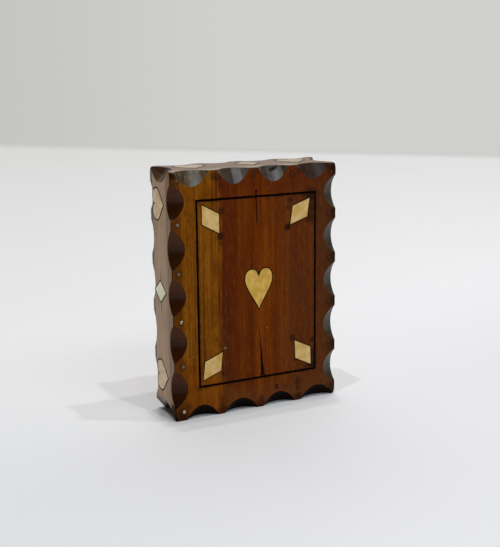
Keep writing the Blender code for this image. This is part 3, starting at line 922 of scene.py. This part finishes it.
class SNUFFBOX_OT_stage(bpy.types.Operator):
    """Pale table, plain wall, soft window light and the camera"""

    bl_idname = "snuff_box.stage"
    bl_label = "Stage"

    def execute(self, context):
        stage = context.scene.snuff_box_stage
        context.scene.view_settings.view_transform = "Standard"
        self.add_table()
        self.add_room(context, stage)
        self.add_window(context, stage)
        self.add_ceiling(context, stage)
        self.add_lamps(context, stage)
        self.add_camera(context, stage)
        return {"FINISHED"}

    def add_table(self):
        """A pale table, painted a little brighter to the right and at the back as painted light, with a soft
        far edge.
        """
        finish = Finish("pale_table")
        mottle = finish.noise(finish.place, (0.02, 0.02, 0.02), 3.0)
        x = finish.axis(finish.place, "X")
        y = finish.axis(finish.place, "Y")
        fan_x, fan_y = TABLE_FAN
        out_x, out_y = TABLE_EDGE_OUTWARD
        # Painted light: the table's colour brightens to the right and towards the back
        rightward = ((x - fan_x) / (y - fan_y).at_least(50)).step(0.15, 0.85)
        near, far, distant = (finish.mix(rightward, left, right) for left, right in TABLE_COLOURS)
        to_edge = TABLE_EDGE - x * out_x - y * out_y
        layers = (
            (y.step(-60, 140), far),
            (y.step(200, 1500), distant),
            (to_edge.step(100, 5), TABLE_EDGE_COLOUR),
            (mottle * 0.2, TABLE_CLOUD_COLOUR),
        )
        finish.set(
            Base_Color=finish.layered(near, layers),
            Roughness=mottle * 0.1 + 0.55,
            Specular_IOR_Level=0.1,
        )
        for name, corners in TABLE.items():
            shape = bmesh.new()
            shape.faces.new([shape.verts.new((*corner, 0)) for corner in corners])
            mesh = bpy.data.meshes.new(name)
            shape.to_mesh(mesh)
            shape.free()
            mesh.materials.append(finish.material)
            table = bpy.data.objects.new(name, mesh)
            bpy.context.scene.collection.objects.link(table)
            table.visible_glossy = name == "table"

    def add_room(self, context, stage):
        """A plain wall to look at, painted brighter to the right as painted light, and light from behind,
        most of it from high up.
        """
        world = bpy.data.worlds.new("room")
        world.use_nodes = True
        room = Tree(world.node_tree)
        heading = room.add("ShaderNodeTexCoord", output="Generated")
        behind = room.dot(heading, (math.sin(stage.yaw), math.cos(stage.yaw), 0)).step(0.35, 0.75)
        # Painted light: the wall seen by the camera brightens to the right
        right = room.dot(heading, (math.cos(stage.yaw), -math.sin(stage.yaw), 0)).step(-0.26, 0.02)
        above = room.axis(heading, "Z").step(0.2, 0.7)
        light = room.mix(behind, ROOM_ELSEWHERE, room.mix(above, ROOM_LOW, ROOM_HIGH))
        seen = room.add("ShaderNodeLightPath", output="Is Camera Ray")
        colour = room.mix(seen, light, room.mix(right, *WALL))
        room.feed(room.nodes["Background"].inputs["Color"], colour)
        context.scene.world = world

    def add_window(self, context, stage):
        """A large cool light from the front, above."""
        lamp = bpy.data.lights.new("window", "AREA")
        lamp.shape = "RECTANGLE"
        lamp.size, lamp.size_y = WINDOW_SIZE
        lamp.color = WINDOW_COLOUR
        lamp.energy = stage.window_power * lamp.size * lamp.size_y * math.pi
        window = bpy.data.objects.new("window", lamp)
        window.location = WINDOW_TOWARD * WINDOW_DISTANCE + WINDOW_FACES
        window.rotation_euler = WINDOW_TOWARD.to_track_quat("Z", "Y").to_euler()
        context.scene.collection.objects.link(window)

    def add_ceiling(self, context, stage):
        """A broad light overhead that isn't mirrored in the varnish."""
        lamp = bpy.data.lights.new("ceiling", "AREA")
        lamp.size = CEILING_SIZE
        lamp.energy = stage.ceiling_power * lamp.size**2 * math.pi
        ceiling = bpy.data.objects.new("ceiling", lamp)
        ceiling.location.z = CEILING_HEIGHT
        ceiling.visible_glossy = False
        context.scene.collection.objects.link(ceiling)

    def add_lamps(self, context, stage):
        """Small distant lamps high above, each with its own faint shadow."""
        for index, (toward, power) in enumerate(LAMPS):
            lamp = bpy.data.lights.new(f"lamp_{index + 1}", "SUN")
            lamp.angle = LAMP_ANGLE
            lamp.energy = stage.lamp_power * power
            lamp.color = LAMP_COLOUR
            holder = bpy.data.objects.new(lamp.name, lamp)
            holder.rotation_euler = Vector(toward).to_track_quat("Z", "Y").to_euler()
            context.scene.collection.objects.link(holder)

    def add_camera(self, context, stage):
        right, up, forward = camera_axes(stage)
        camera = bpy.data.objects.new("camera", bpy.data.cameras.new("camera"))
        camera.data.lens = stage.lens
        camera.data.clip_start = 0.01
        turn = Matrix((right, up, -forward)).transposed()
        camera.matrix_world = Matrix.Translation(stage.camera_place) @ turn.to_4x4()
        context.scene.collection.objects.link(camera)
        context.scene.camera = camera


class SNUFFBOX_OT_boards(bpy.types.Operator):
    """Varnished mahogany on the front, the sides, the rails and the lid"""

    bl_idname = "snuff_box.boards"
    bl_label = "Boards"

    def execute(self, context):
        look = context.scene.snuff_box_wood
        dress("front_board", front_finish(look))
        dress("left_side", board_finish("left_side_wood", -X_AXIS, 2, look, cracked=True))
        dress("right_side", board_finish("right_side_wood", X_AXIS, 2, look))
        # The top rail is darkened all over as painted shade, for the strong light it gets from above
        dress("top_rail", board_finish("top_rail_wood", Z_AXIS, 0, look, 1.0, 0.36))
        dress("bottom_rail", board_finish("bottom_rail_wood", -Z_AXIS, 0, look))
        dress("back_lid", board_finish("lid_wood", Y_AXIS, 2, look))
        return {"FINISHED"}


class SNUFFBOX_OT_inlay(bpy.types.Operator):
    """Bone hearts and lozenges bedded in dark mastic, and the black border line"""

    bl_idname = "snuff_box.inlay"
    bl_label = "Inlay"

    def execute(self, context):
        look = context.scene.snuff_box_inlay
        heart = (look.heart_bone, look.heart_bone_dark)
        lozenge = (look.front_bone, look.front_bone_dark)
        top = (look.top_bone, look.top_bone_dark)
        stained = look.yellow_stain
        bones = {
            ("front", "heart"): bone_finish("heart_bone", *heart, 2, stained=stained),
            ("front", "lozenge"): bone_finish("front_bone", *lozenge, 2, stained=stained),
            ("top", "heart"): bone_finish("top_bone", *top, 1, 0.38),
            ("top", "lozenge"): bone_finish("top_lozenge_bone", *top, 1, 0.38),
            ("side", "heart"): bone_finish("side_bone", look.side_bone, look.side_bone_dark, 1),
            ("side", "lozenge"): bone_finish("pale_bone", look.pale_bone, look.pale_bone_dark, 1, 0.8),
        }
        mastic = mastic_finish(look)
        for node in NODES:
            if "heart" not in node and "lozenge" not in node:
                continue
            hand, kind = node.split("_")[:2]
            outward = -Y_AXIS if hand == "front" else SIDES[hand]
            dress(node, bones[hand if hand in ("front", "top") else "side", kind])
            corners, facing = outline_of(node, outward)
            reach = look.mastic_reach * MASTIC_SPREAD.get(hand, 1.0)
            corners = grown(corners, facing, reach)
            bed = slab(f"{node}_mastic", corners, facing, look.mastic_sink, MASTIC_DEPTH, mastic)
        dress("border_line", line_finish(look))
        return {"FINISHED"}


class SNUFFBOX_OT_pins(bpy.types.Operator):
    """Old brass on the pins"""

    bl_idname = "snuff_box.pins"
    bl_label = "Pins"

    def execute(self, context):
        brass = brass_finish(context.scene.snuff_box_pins)
        for node in NODES:
            if node.startswith("pin_"):
                dress(node, brass, PIN_EDGE_ANGLE)
        return {"FINISHED"}


class SNUFFBOX_PT_panel(bpy.types.Panel):
    bl_label = "Snuff Box"
    bl_space_type = "VIEW_3D"
    bl_region_type = "UI"
    bl_category = "Snuff Box"

    def draw(self, context):
        for settings, operator in STEPS:
            group = getattr(context.scene, settings)
            box = self.layout.box()
            for name in group.bl_rna.properties.keys():
                if name not in ("rna_type", "name"):
                    box.prop(group, name)
            box.operator(operator)


STEPS = (
    ("snuff_box_stage", "snuff_box.stage"),
    ("snuff_box_wood", "snuff_box.boards"),
    ("snuff_box_inlay", "snuff_box.inlay"),
    ("snuff_box_pins", "snuff_box.pins"),
)
GROUPS = {
    "snuff_box_stage": SnuffBoxStage,
    "snuff_box_wood": SnuffBoxWood,
    "snuff_box_inlay": SnuffBoxInlay,
    "snuff_box_pins": SnuffBoxPins,
}
CLASSES = (
    *GROUPS.values(),
    SNUFFBOX_OT_stage,
    SNUFFBOX_OT_boards,
    SNUFFBOX_OT_inlay,
    SNUFFBOX_OT_pins,
    SNUFFBOX_PT_panel,
)


def register():
    for made in CLASSES:
        bpy.utils.register_class(made)
    for name, group in GROUPS.items():
        setattr(bpy.types.Scene, name, bpy.props.PointerProperty(type=group))


def unregister():
    for name in GROUPS:
        delattr(bpy.types.Scene, name)
    for made in reversed(CLASSES):
        bpy.utils.unregister_class(made)


def main():
    register()
    bpy.ops.snuff_box.stage()
    bpy.ops.snuff_box.boards()
    bpy.ops.snuff_box.inlay()
    bpy.ops.snuff_box.pins()


if __name__ == "__main__":
    main()
